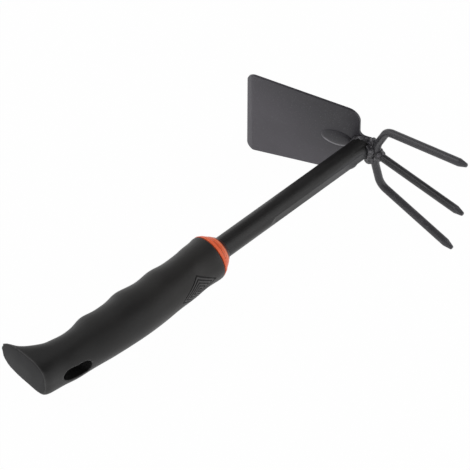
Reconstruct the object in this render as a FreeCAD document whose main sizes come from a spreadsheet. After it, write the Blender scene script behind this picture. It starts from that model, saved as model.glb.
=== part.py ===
import FreeCAD, Part

"""Double hoe: a hoe blade and three tines on one steel tube, with a moulded handle.

The tool is modelled along its tube. Tool axes: +X from the butt to the head, +Y towards the
blade, +Z up as the tool lies on its side. The origin is where the middle of the blade's plate
crosses the axis of the tube. At the end the whole tool is laid on the floor, on the three
points that it really rests on: a corner of the blade, the tip of an outer tine and the butt.
The floor is z = 0 there and the origin is the middle of the underside of its box.
"""

import math
import os
from typing import NamedTuple

import Sketcher
from FreeCAD import Placement, Rotation, Vector

# Driving sizes in millimetres, and angles in degrees where the name says so
SIZES = {
    # Tube
    "tube_radius": (8.0, "outside of the steel tube"),
    "tube_wall": (1.2, "wall of the steel tube"),
    "tube_exposed": (141.3, "from the back of the plate to the front of the collar"),
    "tube_socket": (105.0, "how far the tube goes into the handle"),
    "tube_flat": (7.3, "axis to the two flats pressed along the front of the tube"),
    "tube_flat_length": (96.0, "from the plate back to where the flats run out"),
    "tube_flat_slope": (9.0, "length over which a flat runs out"),
    "lock_hole_radius": (2.5, "cross hole that the core's plastic fills"),
    "lock_hole_setback": (12.0, "from the tube's hidden end to the cross hole"),
    "tube_fill": (25.0, "depth of the plastic inside the tube's hidden end"),
    "tube_plug_length": (8.0, "plug that stops the plastic"),
    # Blade, measured in its own plane from the axis of the tube
    "blade_lean_degrees": (23.0, "lean of the plate towards the handle"),
    "blade_turn_degrees": (2.4, "turn of the plate in its own plane, as it was welded"),
    "blade_thickness": (2.0, "plate"),
    "blade_reach": (91.0, "axis of the tube to the cutting edge"),
    "blade_edge_slant": (0.75, "how much further the lower corner reaches than the middle"),
    "blade_half_width": (38.6, "middle to corner along the cutting edge"),
    "blade_taper_degrees": (4.9, "how the sides draw in towards the neck"),
    "blade_corner_radius": (6.0, "corners of the cutting edge"),
    "blade_shoulder_level": (4.0, "axis of the tube to the bottom of the shoulders"),
    "blade_shoulder_radius": (10.0, "outer corner of the upper shoulder"),
    "blade_lower_shoulder_radius": (17.0, "outer corner of the lower shoulder"),
    "blade_neck_half_width": (8.6, "tang, middle to side"),
    "blade_neck_fillet": (4.5, "inside corner between shoulder and tang"),
    "blade_tang_length": (12.0, "axis of the tube to the end of the tang"),
    "blade_tang_corner": (3.5, "corners of the tang"),
    "blade_bevel_width": (4.0, "ground band along the cutting edge"),
    "blade_bevel_depth": (1.2, "thickness that the grinding takes off"),
    "tongue_middle": (21.0, "axis of the tube to the middle of the pressed tongue"),
    "tongue_half_length": (12.3, "pressed tongue, lengthwise"),
    "tongue_half_width": (7.0, "pressed tongue, crosswise"),
    "tongue_height": (1.9, "pressed tongue, above the plate"),
    "tongue_recess": (1.2, "hollow behind the tongue"),
    # Tines
    "rod_radius": (3.0, "rod of all three tines"),
    "plate_gap": (0.1, "gap that the weld closes between the yoke and the plate"),
    "fork_gap": (0.7, "gap that the weld closes between the yoke and the tube"),
    "fork_turn_degrees": (2.3, "turn of the fork in its own plane, as it was welded"),
    "fork_offset": (0.1, "axis of the tube down to the middle of the yoke"),
    "tine_lean_degrees": (5.8, "lean of the outer tines away from the handle"),
    "middle_tine_lean_degrees": (3.5, "lean of the middle tine away from the handle"),
    "yoke_half_base": (10.0, "straight middle of the yoke"),
    "yoke_half_width": (28.0, "middle to the outer bend of the yoke"),
    "yoke_drop": (7.1, "from the yoke's middle down to its lower outer bend"),
    "yoke_upper_drop": (6.3, "from the yoke's middle down to its upper outer bend"),
    "yoke_inner_radius": (14.0, "gentle bends beside the tube"),
    "yoke_outer_radius": (11.0, "bend where the lower tine begins"),
    "yoke_upper_radius": (9.0, "bend where the upper tine begins"),
    "tine_fan_degrees": (14.0, "spread of each outer tine"),
    "outer_tine_length": (69.8, "outer bend to tip"),
    "middle_tine_length": (80.0, "yoke to tip"),
    "middle_tine_start": (1.2, "coped end, from the middle of the yoke's rod"),
    "tip_taper_length": (6.5, "taper of a tip, along the rod"),
    "tip_taper_depth": (1.6, "taper of a tip, off the radius"),
    "tip_rounding": (1.0, "rounded end of a tip"),
    # Welds
    "weld_width": (1.8, "bead beside the tube"),
    "weld_height": (3.8, "bead along the tube"),
    "weld_lump_radius": (3.2, "upper lump, between the yoke and the plate"),
    "weld_lump_side": (8.8, "axis of the tube up to the upper lump"),
    "weld_lump_level": (7.2, "axis of the tube across to the upper lump"),
    "weld_blob_radius": (3.7, "lower lump, between the yoke, the plate and the tube"),
    "weld_blob_back": (1.2, "middle of the head back to the lower lump"),
    "weld_blob_side": (8.7, "axis of the tube down to the lower lump"),
    "weld_blob_level": (6.4, "axis of the tube across to the lower lump"),
    "weld_bar_radius": (3.7, "bead between the lumps, over the yoke and the tube's end"),
    "weld_bar_back": (2.3, "middle of the head back to that bead"),
    "weld_bar_level": (8.1, "axis of the tube across to that bead"),
    "weld_bar_length": (15.0, "that bead, from the lower lump up"),
    "weld_root_radius": (5.2, "bead round the middle tine, at the yoke"),
    "weld_root_length": (5.5, "bead round the middle tine, lengthwise"),
    # Handle
    "grip_radius": (17.2, "handle at the collar"),
    "grip_length": (154.0, "collar to butt"),
    "hook_reach": (20.4, "how far the hooked end flares past the fingers"),
    "cover_thickness": (3.0, "soft cover over the core"),
    "collar_radius": (16.6, "collar at the grip"),
    "collar_length": (12.4, "collar in front of the grip"),
    "collar_step": (4.6, "grip to the step"),
    "collar_step_radius": (15.6, "collar at the step"),
    "collar_step_height": (0.5, "how far the step stands proud"),
    "collar_shoulder": (8.2, "grip to the shoulder, where the nose begins"),
    "collar_shoulder_radius": (13.4, "collar at the shoulder"),
    "collar_front_radius": (9.0, "collar at the tube"),
    "cap_thickness": (2.0, "hard face in the butt"),
    "cap_rim": (1.0, "rim of soft cover round the cap"),
    "slot_length": (21.5, "hanging slot"),
    "slot_width": (11.8, "hanging slot"),
    "slot_setback": (24.2, "butt to the middle of the slot"),
    "slot_lining": (2.0, "soft cover inside the slot"),
    # Working values
    "overrun": (30.0, "how far a cutter runs past what it cuts"),
}


class Station(NamedTuple):
    """The handle's outline at one place along it, as shares chosen by eye from the photograph.

    along is a share of the grip's length, from the collar. finger, palm, side and middle are
    shares of the grip's radius, from the axis of the tube. hook is a share of the hook's reach.
    square says how far the outline departs from an ellipse.
    """

    along: float
    finger: float
    palm: float
    side: float
    middle: float
    hook: float
    square: float


GRIP_STATION_SHARES = (
    Station(0.000, 0.953, 0.985, 0.965, 0.00, 0.00, 0.0),
    Station(0.025, 0.935, 0.987, 0.962, 0.00, 0.00, 0.0),
    Station(0.055, 0.910, 0.962, 0.957, 0.00, 0.00, 0.0),
    Station(0.085, 0.896, 0.948, 0.953, 0.00, 0.00, 0.0),
    Station(0.115, 0.860, 0.961, 0.950, 0.00, 0.00, 0.0),
    Station(0.150, 0.832, 0.977, 0.949, 0.00, 0.00, 0.1),
    Station(0.183, 0.827, 0.993, 0.948, 0.00, 0.00, 0.1),
    Station(0.229, 0.856, 1.002, 0.945, 0.00, 0.00, 0.1),
    Station(0.275, 0.926, 1.022, 0.942, 0.00, 0.00, 0.1),
    Station(0.324, 0.897, 1.055, 0.936, 0.00, 0.00, 0.1),
    Station(0.373, 0.885, 1.080, 0.930, 0.00, 0.00, 0.1),
    Station(0.422, 0.964, 1.096, 0.930, 0.00, 0.00, 0.1),
    Station(0.471, 1.026, 1.097, 0.930, 0.00, 0.00, 0.1),
    Station(0.520, 0.952, 1.074, 0.927, 0.00, 0.00, 0.1),
    Station(0.569, 0.925, 1.044, 0.924, 0.00, 0.00, 0.1),
    Station(0.618, 0.959, 1.014, 0.915, 0.00, 0.00, 0.1),
    Station(0.667, 1.036, 0.977, 0.907, 0.00, 0.00, 0.1),
    Station(0.719, 0.932, 0.912, 0.901, 0.00, 0.00, 0.1),
    Station(0.771, 0.868, 0.840, 0.895, 0.00, 0.00, 0.2),
    Station(0.811, 0.862, 0.798, 0.895, 0.01, 0.02, 0.3),
    Station(0.850, 0.911, 0.742, 0.895, 0.03, 0.04, 0.4),
    Station(0.880, 0.885, 0.674, 0.894, 0.08, 0.11, 0.5),
    Station(0.909, 0.912, 0.602, 0.893, 0.15, 0.19, 0.7),
    Station(0.954, 0.920, 0.515, 0.890, 0.29, 0.43, 0.9),
    Station(0.984, 0.927, 0.456, 0.888, 0.43, 0.73, 1.0),
    Station(1.000, 0.908, 0.350, 0.887, 0.52, 1.00, 1.0),
)
CORE_HOOK_SHARE = 0.35
SECTION_POINTS = 16
ELLIPSE_POWER = 2.0
PALM_POWER_RISE = 1.1
FINGER_POWER_RISE = 0.6

TURN_DEGREES = 360.0
LEVELLING_ROUNDS = 12
FINENESS_SHARE = 0.05
SAME_SIZE_SHARE = 1e-6

X_AXIS, Y_AXIS, Z_AXIS = Vector(1, 0, 0), Vector(0, 1, 0), Vector(0, 0, 1)

doc = FreeCAD.newDocument("double_hoe")
sheet = doc.addObject("Spreadsheet::Sheet", "Sizes")
# Every shape with the place it has on the tool
placed = []


class Size:
    """A named size, or a sum of named sizes: its value, and its text in an expression."""

    def __init__(self, value, text):
        self.value = value
        self.text = text

    @staticmethod
    def of(other):
        return other if isinstance(other, Size) else Size(float(other), str(other))

    def __add__(self, other):
        other = Size.of(other)
        return Size(self.value + other.value, f"({self.text} + {other.text})")

    def __sub__(self, other):
        other = Size.of(other)
        return Size(self.value - other.value, f"({self.text} - {other.text})")

    def __mul__(self, other):
        other = Size.of(other)
        return Size(self.value * other.value, f"({self.text} * {other.text})")

    def __truediv__(self, other):
        other = Size.of(other)
        return Size(self.value / other.value, f"({self.text} / {other.text})")

    def __neg__(self):
        return Size(-self.value, f"(-1 * {self.text})")

    __radd__ = __add__
    __rmul__ = __mul__


def sine(angle):
    return Size(math.sin(math.radians(angle.value)), f"sin({angle.text})")


def cosine(angle):
    return Size(math.cos(math.radians(angle.value)), f"cos({angle.text})")


def tangent(angle):
    return Size(math.tan(math.radians(angle.value)), f"tan({angle.text})")


def fill_sheet():
    """Writes the driving sizes into the sheet, one named cell each."""
    for row, (name, (value, note)) in enumerate(SIZES.items(), start=1):
        sheet.set(f"A{row}", note)
        sheet.set(f"B{row}", str(value))
        sheet.setAlias(f"B{row}", name)
    doc.recompute()
    return {name: Size(float(getattr(sheet, name)), f"Sizes.{name}") for name in SIZES}


size = fill_sheet()


# Helpers for placing and sketching


def place(obj, where=None):
    """Puts an object at its place on the tool and remembers it for the last step."""
    where = where or Placement()
    obj.Placement = where
    placed.append((obj, where))
    return obj


def bind(obj, **expressions):
    """Ties properties to sizes."""
    for name, value in expressions.items():
        obj.setExpression(name, value.text)
    return obj


def frame_at(origin, along, normal):
    """The place whose local x runs along one direction and whose local z is another."""
    return Placement(origin, Rotation(along, normal.cross(along), normal, "ZXY"))


def new_body(name, where=None):
    body = doc.addObject("PartDesign::Body", name)
    return place(body, where)


def new_sketch(body, name, role="XY_Plane"):
    """A sketch on one of the body's own planes."""
    sketch = body.newObject("Sketcher::SketchObject", name)
    plane = next(f for f in body.Origin.OriginFeatures if f.Role == role)
    sketch.AttachmentSupport = [(plane, "")]
    sketch.MapMode = "FlatFace"
    return sketch


def dimension(sketch, kind, *where, value):
    """Adds a dimension that follows a size."""
    index = sketch.addConstraint(Sketcher.Constraint(kind, *where, value.value))
    name = f"{kind}{index}"
    sketch.renameConstraint(index, name)
    sketch.setExpression(f"Constraints.{name}", value.text)


def locate(sketch, geometry, end, x, y):
    """Fixes one point of the sketch by its two sizes, or on an axis where one is zero."""
    for kind, axis, value in (("DistanceX", -2, x), ("DistanceY", -1, y)):
        if value.value:
            dimension(sketch, kind, -1, 1, geometry, end, value=value)
        else:
            sketch.addConstraint(Sketcher.Constraint("PointOnObject", geometry, end, axis))


def draw_rounded(sketch, corners, closed=True):
    """Draws lines through corners, with a tangent arc at each corner that has a radius.

    Each corner is (x, y, radius or None). A construction line joins each pair of corners, the
    corners are located by their sizes, and the real lines and arcs follow them.
    """
    count = len(corners)
    points = [Vector(x.value, y.value, 0) for x, y, _ in corners]
    spans = count if closed else count - 1
    guides = []
    for i in range(spans):
        guide = sketch.addGeometry(Part.LineSegment(points[i], points[(i + 1) % count]), True)
        guides.append(guide)
        locate(sketch, guide, 1, corners[i][0], corners[i][1])
        if i:
            sketch.addConstraint(Sketcher.Constraint("Coincident", guides[i - 1], 2, guide, 1))
    if closed:
        sketch.addConstraint(Sketcher.Constraint("Coincident", guides[-1], 2, guides[0], 1))
    else:
        locate(sketch, guides[-1], 2, corners[-1][0], corners[-1][1])

    def leave(i, step):
        """The point where the straight run towards a neighbour leaves corner i."""
        radius = corners[i][2]
        if radius is None:
            return points[i]
        back = (points[(i - 1) % count] - points[i]).normalize()
        ahead = (points[(i + 1) % count] - points[i]).normalize()
        run = radius.value / math.tan(back.getAngle(ahead) / 2)
        return points[i] + (ahead if step > 0 else back) * run

    lines = []
    for i in range(spans):
        j = (i + 1) % count
        line = sketch.addGeometry(Part.LineSegment(leave(i, 1), leave(j, -1)))
        lines.append(line)
        for end, corner, guide_end in ((1, i, 1), (2, j, 2)):
            if corners[corner][2] is None:
                place_on = Sketcher.Constraint("Coincident", line, end, guides[i], guide_end)
            else:
                place_on = Sketcher.Constraint("PointOnObject", line, end, guides[i])
            sketch.addConstraint(place_on)

    for i in range(count):
        radius = corners[i][2]
        if radius is None:
            continue
        start, end = leave(i, -1), leave(i, 1)
        back, ahead = start - points[i], end - points[i]
        reach = back.Length**2
        centre = points[i] + (back + ahead) * (reach / (reach + back.dot(ahead)))
        left_turn = back.cross(ahead).z < 0
        first, last = (start, end) if left_turn else (end, start)
        angles = [math.atan2(p.y - centre.y, p.x - centre.x) for p in (first, last)]
        circle = Part.Circle(centre, Z_AXIS, radius.value)
        arc = sketch.addGeometry(Part.ArcOfCircle(circle, *angles))
        before, after = lines[(i - 1) % spans], lines[i]
        ends = (1, 2) if left_turn else (2, 1)
        sketch.addConstraint(Sketcher.Constraint("Tangent", before, 2, arc, ends[0]))
        sketch.addConstraint(Sketcher.Constraint("Tangent", arc, ends[1], after, 1))
        dimension(sketch, "Radius", arc, value=radius)


def pad(body, sketch, length, midplane=False, reverse=False):
    feature = body.newObject("PartDesign::Pad", sketch.Name + "_pad")
    feature.Profile = sketch
    feature.Midplane = midplane
    feature.Reversed = reverse
    return bind(feature, Length=length)


def cylinder(name, radius, height, where):
    obj = bind(doc.addObject("Part::Cylinder", name), Radius=radius, Height=height)
    return place(obj, where)


def cut(name, base, tool):
    obj = doc.addObject("Part::Cut", name)
    obj.Base, obj.Tool = base, tool
    return obj


def fuse(name, *shapes):
    obj = doc.addObject("Part::MultiFuse", name)
    obj.Shapes = list(shapes)
    return obj


def cut_all(name, base, *tools):
    """Cuts several tools from one base, one after another."""
    for number, tool in enumerate(tools, start=1):
        base = cut(name if number == len(tools) else f"{name}_{number}", base, tool)
    return base


# Places that several pieces share, on the tool's axes


def turned(along, normal, angle):
    """A direction turned about a normal, away from the tool's +Z."""
    turn = math.radians(angle.value)
    return (along * math.cos(turn) - Z_AXIS * math.sin(turn)).normalize()


lean = size["blade_lean_degrees"]
half_plate = size["blade_thickness"] / 2
plate_back = half_plate / cosine(lean)
plate_normal = Vector(cosine(lean).value, sine(lean).value, 0)
plate_square = Vector(-sine(lean).value, cosine(lean).value, 0)
plate_along = turned(plate_square, plate_normal, size["blade_turn_degrees"])
plate_frame = frame_at(Vector(), plate_along, plate_normal)

collar_front = -(plate_back + size["tube_exposed"]).value
collar_back = collar_front - size["collar_length"].value
butt = collar_back - size["grip_length"].value
tube_end = collar_front - size["tube_socket"].value
tube_start = frame_at(Vector(tube_end, 0, 0), Z_AXIS, X_AXIS)
tube_bore = size["tube_radius"] - size["tube_wall"]
tube_run = size["tube_socket"] + size["tube_exposed"] + size["overrun"]

# The yoke lies beside the flat of the tube and against the plate
rod_seat = size["rod_radius"] + size["plate_gap"]
yoke_level = size["tube_flat"] + size["rod_radius"] + size["fork_gap"]
yoke_forward = (yoke_level * sine(lean) - half_plate - rod_seat) / cosine(lean)
yoke_middle = Vector(yoke_forward.value, -yoke_level.value, -size["fork_offset"].value)
ZERO = Size(0.0, "0")


def tine_directions(angle):
    """The direction of a tine that leans by an angle, and the normal of the plane it lies in."""
    normal = Vector(cosine(angle).value, sine(angle).value, 0)
    square = Vector(sine(angle).value, -cosine(angle).value, 0)
    return turned(square, normal, size["fork_turn_degrees"]), normal


tine_along, tine_normal = tine_directions(size["tine_lean_degrees"])
middle_along, middle_normal = tine_directions(size["middle_tine_lean_degrees"])


# Head


def make_blade():
    """Pressed plate: outline with rounded shoulders and tang, ground bevel, pressed tongue."""
    plate = new_body("blade_plate", plate_frame)
    reach, level = size["blade_reach"], size["blade_shoulder_level"]
    wide, slant = size["blade_half_width"], size["blade_edge_slant"]
    narrow = wide - (reach - level) * tangent(size["blade_taper_degrees"])
    neck, tang = size["blade_neck_half_width"], -size["blade_tang_length"]
    outline = new_sketch(plate, "blade_outline")
    draw_rounded(outline, [
        (reach - slant, wide, size["blade_corner_radius"]),
        (level, narrow, size["blade_shoulder_radius"]),
        (level, neck, size["blade_neck_fillet"]),
        (tang, neck, size["blade_tang_corner"]),
        (tang, -neck, size["blade_tang_corner"]),
        (level, -neck, size["blade_neck_fillet"]),
        (level, -narrow, size["blade_lower_shoulder_radius"]),
        (reach + slant, -wide, size["blade_corner_radius"]),
    ])
    pad(plate, outline, size["blade_thickness"], midplane=True)

    # The bevel is ground on the side that faces the handle
    grind = new_sketch(plate, "bevel_section", "XZ_Plane")
    edge_back = -(half_plate - size["blade_bevel_depth"])
    slope = size["blade_bevel_depth"] / size["blade_bevel_width"]
    spare = size["blade_bevel_width"]
    draw_rounded(grind, [
        (reach - size["blade_bevel_width"], -half_plate, None),
        (reach + spare, edge_back + slope * spare, None),
        (reach + spare, -half_plate, None),
    ])
    bevel = plate.newObject("PartDesign::Pocket", "bevel")
    bevel.Profile = grind
    bevel.Midplane = True
    bind(bevel, Length=(wide + size["overrun"]) * 2)

    def flat_ellipsoid(name, side, height):
        """A flat ellipsoid whose middle lies in one face of the plate."""
        obj = doc.addObject("Part::Ellipsoid", name)
        bind(obj, Radius1=height, Radius2=size["tongue_half_length"], Radius3=size["tongue_half_width"])
        centre = plate_along * size["tongue_middle"].value + plate_normal * (side * half_plate.value)
        return place(obj, frame_at(centre, plate_along, plate_normal))

    raised = fuse("blade_raised", plate, flat_ellipsoid("tongue", -1, size["tongue_height"]))
    return cut("blade", raised, flat_ellipsoid("tongue_hollow", 1, size["tongue_recess"]))


def draw_rod(section):
    """Draws the round section of a tine's rod round the sketch's origin."""
    rod = section.addGeometry(Part.Circle(Vector(), Z_AXIS, size["rod_radius"].value))
    section.addConstraint(Sketcher.Constraint("Coincident", rod, 3, -1, 1))
    dimension(section, "Radius", rod, value=size["rod_radius"])


def make_tine_tip(body, feature, middle):
    """Tapers and rounds the end of a rod whose end circle has a given middle."""
    doc.recompute()

    def rim(shape):
        gaps = []
        for edge in shape.Edges:
            is_round = isinstance(edge.Curve, Part.Circle)
            gaps.append((edge.Curve.Center - middle).Length if is_round else math.inf)
        return f"Edge{gaps.index(min(gaps)) + 1}"

    taper = body.newObject("PartDesign::Chamfer", feature.Name + "_taper")
    taper.Base = (feature, [rim(feature.Shape)])
    taper.ChamferType = "Two distances"
    bind(taper, Size=size["tip_taper_length"], Size2=size["tip_taper_depth"])
    doc.recompute()
    wanted = (size["rod_radius"] - size["tip_taper_depth"]).value
    circles = [edge.Curve.Radius for edge in taper.Shape.Edges if isinstance(edge.Curve, Part.Circle)]
    if not any(math.isclose(radius, wanted, rel_tol=SAME_SIZE_SHARE) for radius in circles):
        taper.FlipDirection = True
        doc.recompute()
    rounding = body.newObject("PartDesign::Fillet", feature.Name + "_rounding")
    rounding.Base = (taper, [rim(taper.Shape)])
    bind(rounding, Radius=size["tip_rounding"])
    doc.recompute()
    return rounding


def make_outer_tines():
    """One rod bent into a yoke: it crosses under the tube and runs down into both outer tines."""
    body = new_body("outer_tines", frame_at(yoke_middle, tine_along, tine_normal))
    fan, wide, inner = size["tine_fan_degrees"], size["yoke_half_width"], size["yoke_inner_radius"]
    tip_run = size["outer_tine_length"] * cosine(fan)
    tip_y = wide + size["outer_tine_length"] * sine(fan)
    drop, upper_drop = size["yoke_drop"], size["yoke_upper_drop"]
    path = new_sketch(body, "yoke_path")
    draw_rounded(path, [
        (drop + tip_run, tip_y, None),
        (drop, wide, size["yoke_outer_radius"]),
        (ZERO, size["yoke_half_base"], inner),
        (ZERO, -size["yoke_half_base"], inner),
        (upper_drop, -wide, size["yoke_upper_radius"]),
        (upper_drop + tip_run, -tip_y, None),
    ], closed=False)
    doc.recompute()
    section = body.newObject("Sketcher::SketchObject", "yoke_section")
    section.AttachmentSupport = [(path, "Edge1")]
    section.MapMode = "NormalToEdge"
    draw_rod(section)
    doc.recompute()
    pipe = body.newObject("PartDesign::AdditivePipe", "yoke_rod")
    pipe.Profile = section
    pipe.Spine = (path, [f"Edge{number}" for number, _ in enumerate(path.Shape.Edges, start=1)])
    last = pipe
    for tip_x, side in ((drop + tip_run, 1), (upper_drop + tip_run, -1)):
        last = make_tine_tip(body, last, Vector(tip_x.value, side * tip_y.value, 0))
    return body


def make_middle_tine(yoke):
    """Straight rod, coped to fit against the middle of the yoke."""
    where = frame_at(yoke_middle, middle_normal, middle_along)
    body = new_body("middle_rod", where)
    section = new_sketch(body, "middle_section")
    draw_rod(section)
    rod = pad(body, section, size["middle_tine_length"])
    make_tine_tip(body, rod, Vector(0, 0, size["middle_tine_length"].value))
    spare = cylinder("cope_end", size["rod_radius"] * 2, size["middle_tine_start"], where)
    return cut_all("middle_tine", body, spare, yoke)


def make_pressed_bar(name, radius, flat):
    """A round bar along the tube's axis, pressed flat on two sides from the plate backwards."""
    bar = cylinder(f"{name}_round", radius, tube_run, tube_start)
    far = size["overrun"]
    begin = -(plate_back + size["tube_flat_length"])
    flats = []
    for side, part in ((1, "upper"), (-1, "lower")):
        body = new_body(f"{name}_{part}_flat")
        profile = new_sketch(body, f"{name}_{part}_profile")
        corners = [
            (begin - size["tube_flat_slope"], (flat + size["tube_flat_slope"]) * side, None),
            (begin - size["tube_flat_slope"], (radius + radius - flat) * side, None),
            (begin, flat * side, None),
            (far, flat * side, None),
            (far, (flat + size["tube_flat_slope"]) * side, None),
        ]
        draw_rounded(profile, corners)
        pad(body, profile, far * 2, midplane=True)
        flats.append(body)
    return cut_all(name, bar, *flats)


def make_tube(outside, lock_bar):
    """Steel tube: mitred against the plate, pressed flat along its front, with a cross hole."""
    inside = make_pressed_bar("tube_inside", tube_bore, size["tube_flat"] - size["tube_wall"])
    beyond = doc.addObject("Part::Box", "beyond_plate")
    reach = size["overrun"] * 2
    bind(beyond, Length=reach, Width=reach, Height=reach)
    back = plate_normal * -half_plate.value
    corner = back - plate_square * size["overrun"].value - Z_AXIS * size["overrun"].value
    place(beyond, frame_at(corner, plate_square, plate_normal))
    return cut_all("shaft_tube", outside, inside, beyond, lock_bar)


def make_welds(outside, blade, tube, yoke, middle):
    """The three welds: round the tube, lumps and a bead at the yoke, and round the middle tine."""
    rings = []
    for name, back, radius in (
        ("weld_wide", ZERO, size["tube_radius"] + size["weld_width"]),
        ("weld_narrow", size["weld_height"], size["tube_radius"]),
    ):
        ring = doc.addObject("Part::Ellipse", name)
        bind(ring, MajorRadius=radius / cosine(lean), MinorRadius=radius)
        centre = Vector(-(plate_back + back).value, 0, 0)
        rings.append(place(ring, frame_at(centre, plate_square, plate_normal)))
    bead = doc.addObject("Part::Loft", "weld_cone")
    bead.Sections = rings
    bead.Solid = True
    bead.Ruled = True
    weld_tube = cut_all("weld_tube", bead, outside, blade, yoke)

    lumps = []
    for name, radius, spot in (
        ("weld_lump", size["weld_lump_radius"], (ZERO, -size["weld_lump_level"], size["weld_lump_side"])),
        ("weld_blob", size["weld_blob_radius"],
         (-size["weld_blob_back"], -size["weld_blob_level"], -size["weld_blob_side"])),
    ):
        lump = bind(doc.addObject("Part::Sphere", name), Radius=radius)
        middle_of_lump = Vector(*(part.value for part in spot))
        lumps.append(place(lump, Placement(middle_of_lump, Rotation())))
    bar = doc.addObject("Part::Cylinder", "weld_bar")
    bind(bar, Radius=size["weld_bar_radius"], Height=size["weld_bar_length"])
    bar_foot = (-size["weld_bar_back"], -size["weld_bar_level"], -size["weld_blob_side"])
    lumps.append(place(bar, Placement(Vector(*(part.value for part in bar_foot)), Rotation())))
    weld_yoke = cut_all("weld_yoke", fuse("weld_lumps", *lumps), tube, blade, yoke, weld_tube)

    root = doc.addObject("Part::Cone", "weld_root")
    bind(root, Radius1=size["weld_root_radius"], Radius2=size["rod_radius"])
    bind(root, Height=size["weld_root_length"])
    foot = yoke_middle + middle_along * size["middle_tine_start"].value
    place(root, frame_at(foot, middle_normal, middle_along))
    weld_middle = cut_all("weld_middle_tine", root, middle, yoke, blade)
    return weld_tube, weld_yoke, weld_middle


# Handle


def outline_shares(along):
    """The handle's shares at one place, between the two nearest stations."""
    for low, high in zip(GRIP_STATION_SHARES, GRIP_STATION_SHARES[1:]):
        if along <= high.along:
            mix = (along - low.along) / (high.along - low.along)
            return Station(*(a + (b - a) * mix for a, b in zip(low, high)))
    return GRIP_STATION_SHARES[-1]


def handle_section(along, inset=0.0, hook_share=1.0):
    """One closed outline across the handle, drawn in by an inset."""
    share = outline_shares(along)
    radius, hook = size["grip_radius"].value, size["hook_reach"].value
    finger = share.finger * radius + share.hook * hook * hook_share - inset
    palm = share.palm * radius - inset
    side = share.side * radius - inset
    middle = min(share.middle * radius, (finger - palm) / 2)
    palm_power = ELLIPSE_POWER + PALM_POWER_RISE * share.square
    finger_power = ELLIPSE_POWER + FINGER_POWER_RISE * share.square
    x = collar_back - along * size["grip_length"].value
    points = []
    for step in range(SECTION_POINTS):
        angle = 2 * math.pi * step / SECTION_POINTS
        across, up = math.cos(angle), math.sin(angle)
        power = finger_power if across > 0 else palm_power
        rise = (finger - middle) if across > 0 else (palm + middle)
        y = middle + math.copysign(abs(across) ** (2 / power), across) * rise
        z = math.copysign(abs(up) ** (2 / power), up) * side
        points.append(Vector(x, y, z))
    curve = Part.BSplineCurve()
    curve.interpolate(points, PeriodicFlag=True)
    return Part.Wire([curve.toShape()])


def loft(name, sections):
    """A smooth solid through closed outlines."""
    obj = doc.addObject("Part::Feature", name)
    obj.Shape = Part.makeLoft(sections, True, False)
    return place(obj)


def make_slot(name, widen):
    """Cutter for the hanging slot: two cylinders and a block, through the handle."""
    radius = size["slot_width"] / 2 + widen
    middle = butt + size["slot_setback"].value
    half_run = (size["slot_length"] - size["slot_width"]) / 2
    depth = (size["grip_radius"] + size["hook_reach"]) * 2
    ends = []
    for side, end in ((1, "front"), (-1, "rear")):
        foot = Vector(middle + side * half_run.value, -depth.value / 2, 0)
        ends.append(cylinder(f"{name}_{end}", radius, depth, frame_at(foot, Z_AXIS, Y_AXIS)))
    block = doc.addObject("Part::Box", f"{name}_block")
    bind(block, Length=half_run * 2, Width=depth, Height=radius * 2)
    corner = Vector(middle - half_run.value, -depth.value / 2, -radius.value)
    place(block, Placement(corner, Rotation()))
    return fuse(name, *ends, block)


def make_collar():
    """Collar in front of the grip: a low step, a shoulder and a steep nose, turned round the tube."""
    body = new_body("collar", Placement(Vector(collar_back, 0, 0), Rotation()))
    section = new_sketch(body, "collar_section")
    length, step = size["collar_length"], size["collar_step"]
    step_radius, lip = size["collar_step_radius"], size["collar_step_height"]
    shoulder, shoulder_radius = size["collar_shoulder"], size["collar_shoulder_radius"]
    draw_rounded(section, [
        (ZERO, ZERO, None),
        (length, ZERO, None),
        (length, size["collar_front_radius"] - lip, None),
        (length - lip, size["collar_front_radius"], None),
        (shoulder, shoulder_radius, None),
        (step, step_radius - lip, None),
        (step, step_radius, None),
        (ZERO, size["collar_radius"], None),
    ])
    turn = body.newObject("PartDesign::Revolution", "collar_turn")
    turn.Profile = section
    turn.ReferenceAxis = (section, ["H_Axis"])
    turn.Angle = TURN_DEGREES
    return body


def make_handle():
    """Core with its collar, soft cover, butt cap, and what fills the tube's hidden end."""
    thickness, rim = size["cover_thickness"].value, size["cap_rim"].value
    cap_front = 1.0 - (size["cap_thickness"] / size["grip_length"]).value
    stations = [station.along for station in GRIP_STATION_SHARES]
    core_stations = [along for along in stations if along < cap_front] + [cap_front]

    grip_blank = loft("grip_blank", [handle_section(along) for along in stations])
    core_outlines = [handle_section(along, thickness, CORE_HOOK_SHARE) for along in core_stations]
    core_blank = loft("core_blank", core_outlines)
    cap = loft("cap_blank", [handle_section(along, rim) for along in (cap_front, 1.0)])
    cap.Label = "butt_cap"

    slot = make_slot("slot", ZERO)
    core_slot = make_slot("core_slot", size["slot_lining"])
    core_envelope = cut("core_envelope", core_blank, core_slot)
    grip_cover = cut_all("grip_cover", grip_blank, slot, core_envelope, cap)

    socket = cylinder("socket", size["tube_radius"], size["tube_socket"] + size["overrun"], tube_start)
    fill = cylinder("tube_filling", tube_bore, size["tube_fill"], tube_start)
    half_bar = size["tube_radius"] + size["tube_wall"]
    bar_foot = Vector(tube_end + size["lock_hole_setback"].value, 0, -half_bar.value)
    lock_bar = cylinder("lock_bar", size["lock_hole_radius"], half_bar * 2, Placement(bar_foot, Rotation()))
    solid_core = fuse("solid_core", core_envelope, make_collar())
    bored_core = cut("bored_core", solid_core, socket)
    grip_core = fuse("grip_core", bored_core, fill, lock_bar)

    plug_foot = frame_at(Vector(tube_end + size["tube_fill"].value, 0, 0), Z_AXIS, X_AXIS)
    tube_plug = cylinder("tube_plug", tube_bore, size["tube_plug_length"], plug_foot)
    return grip_cover, grip_core, cap, tube_plug, lock_bar


# Laying the tool down


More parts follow.
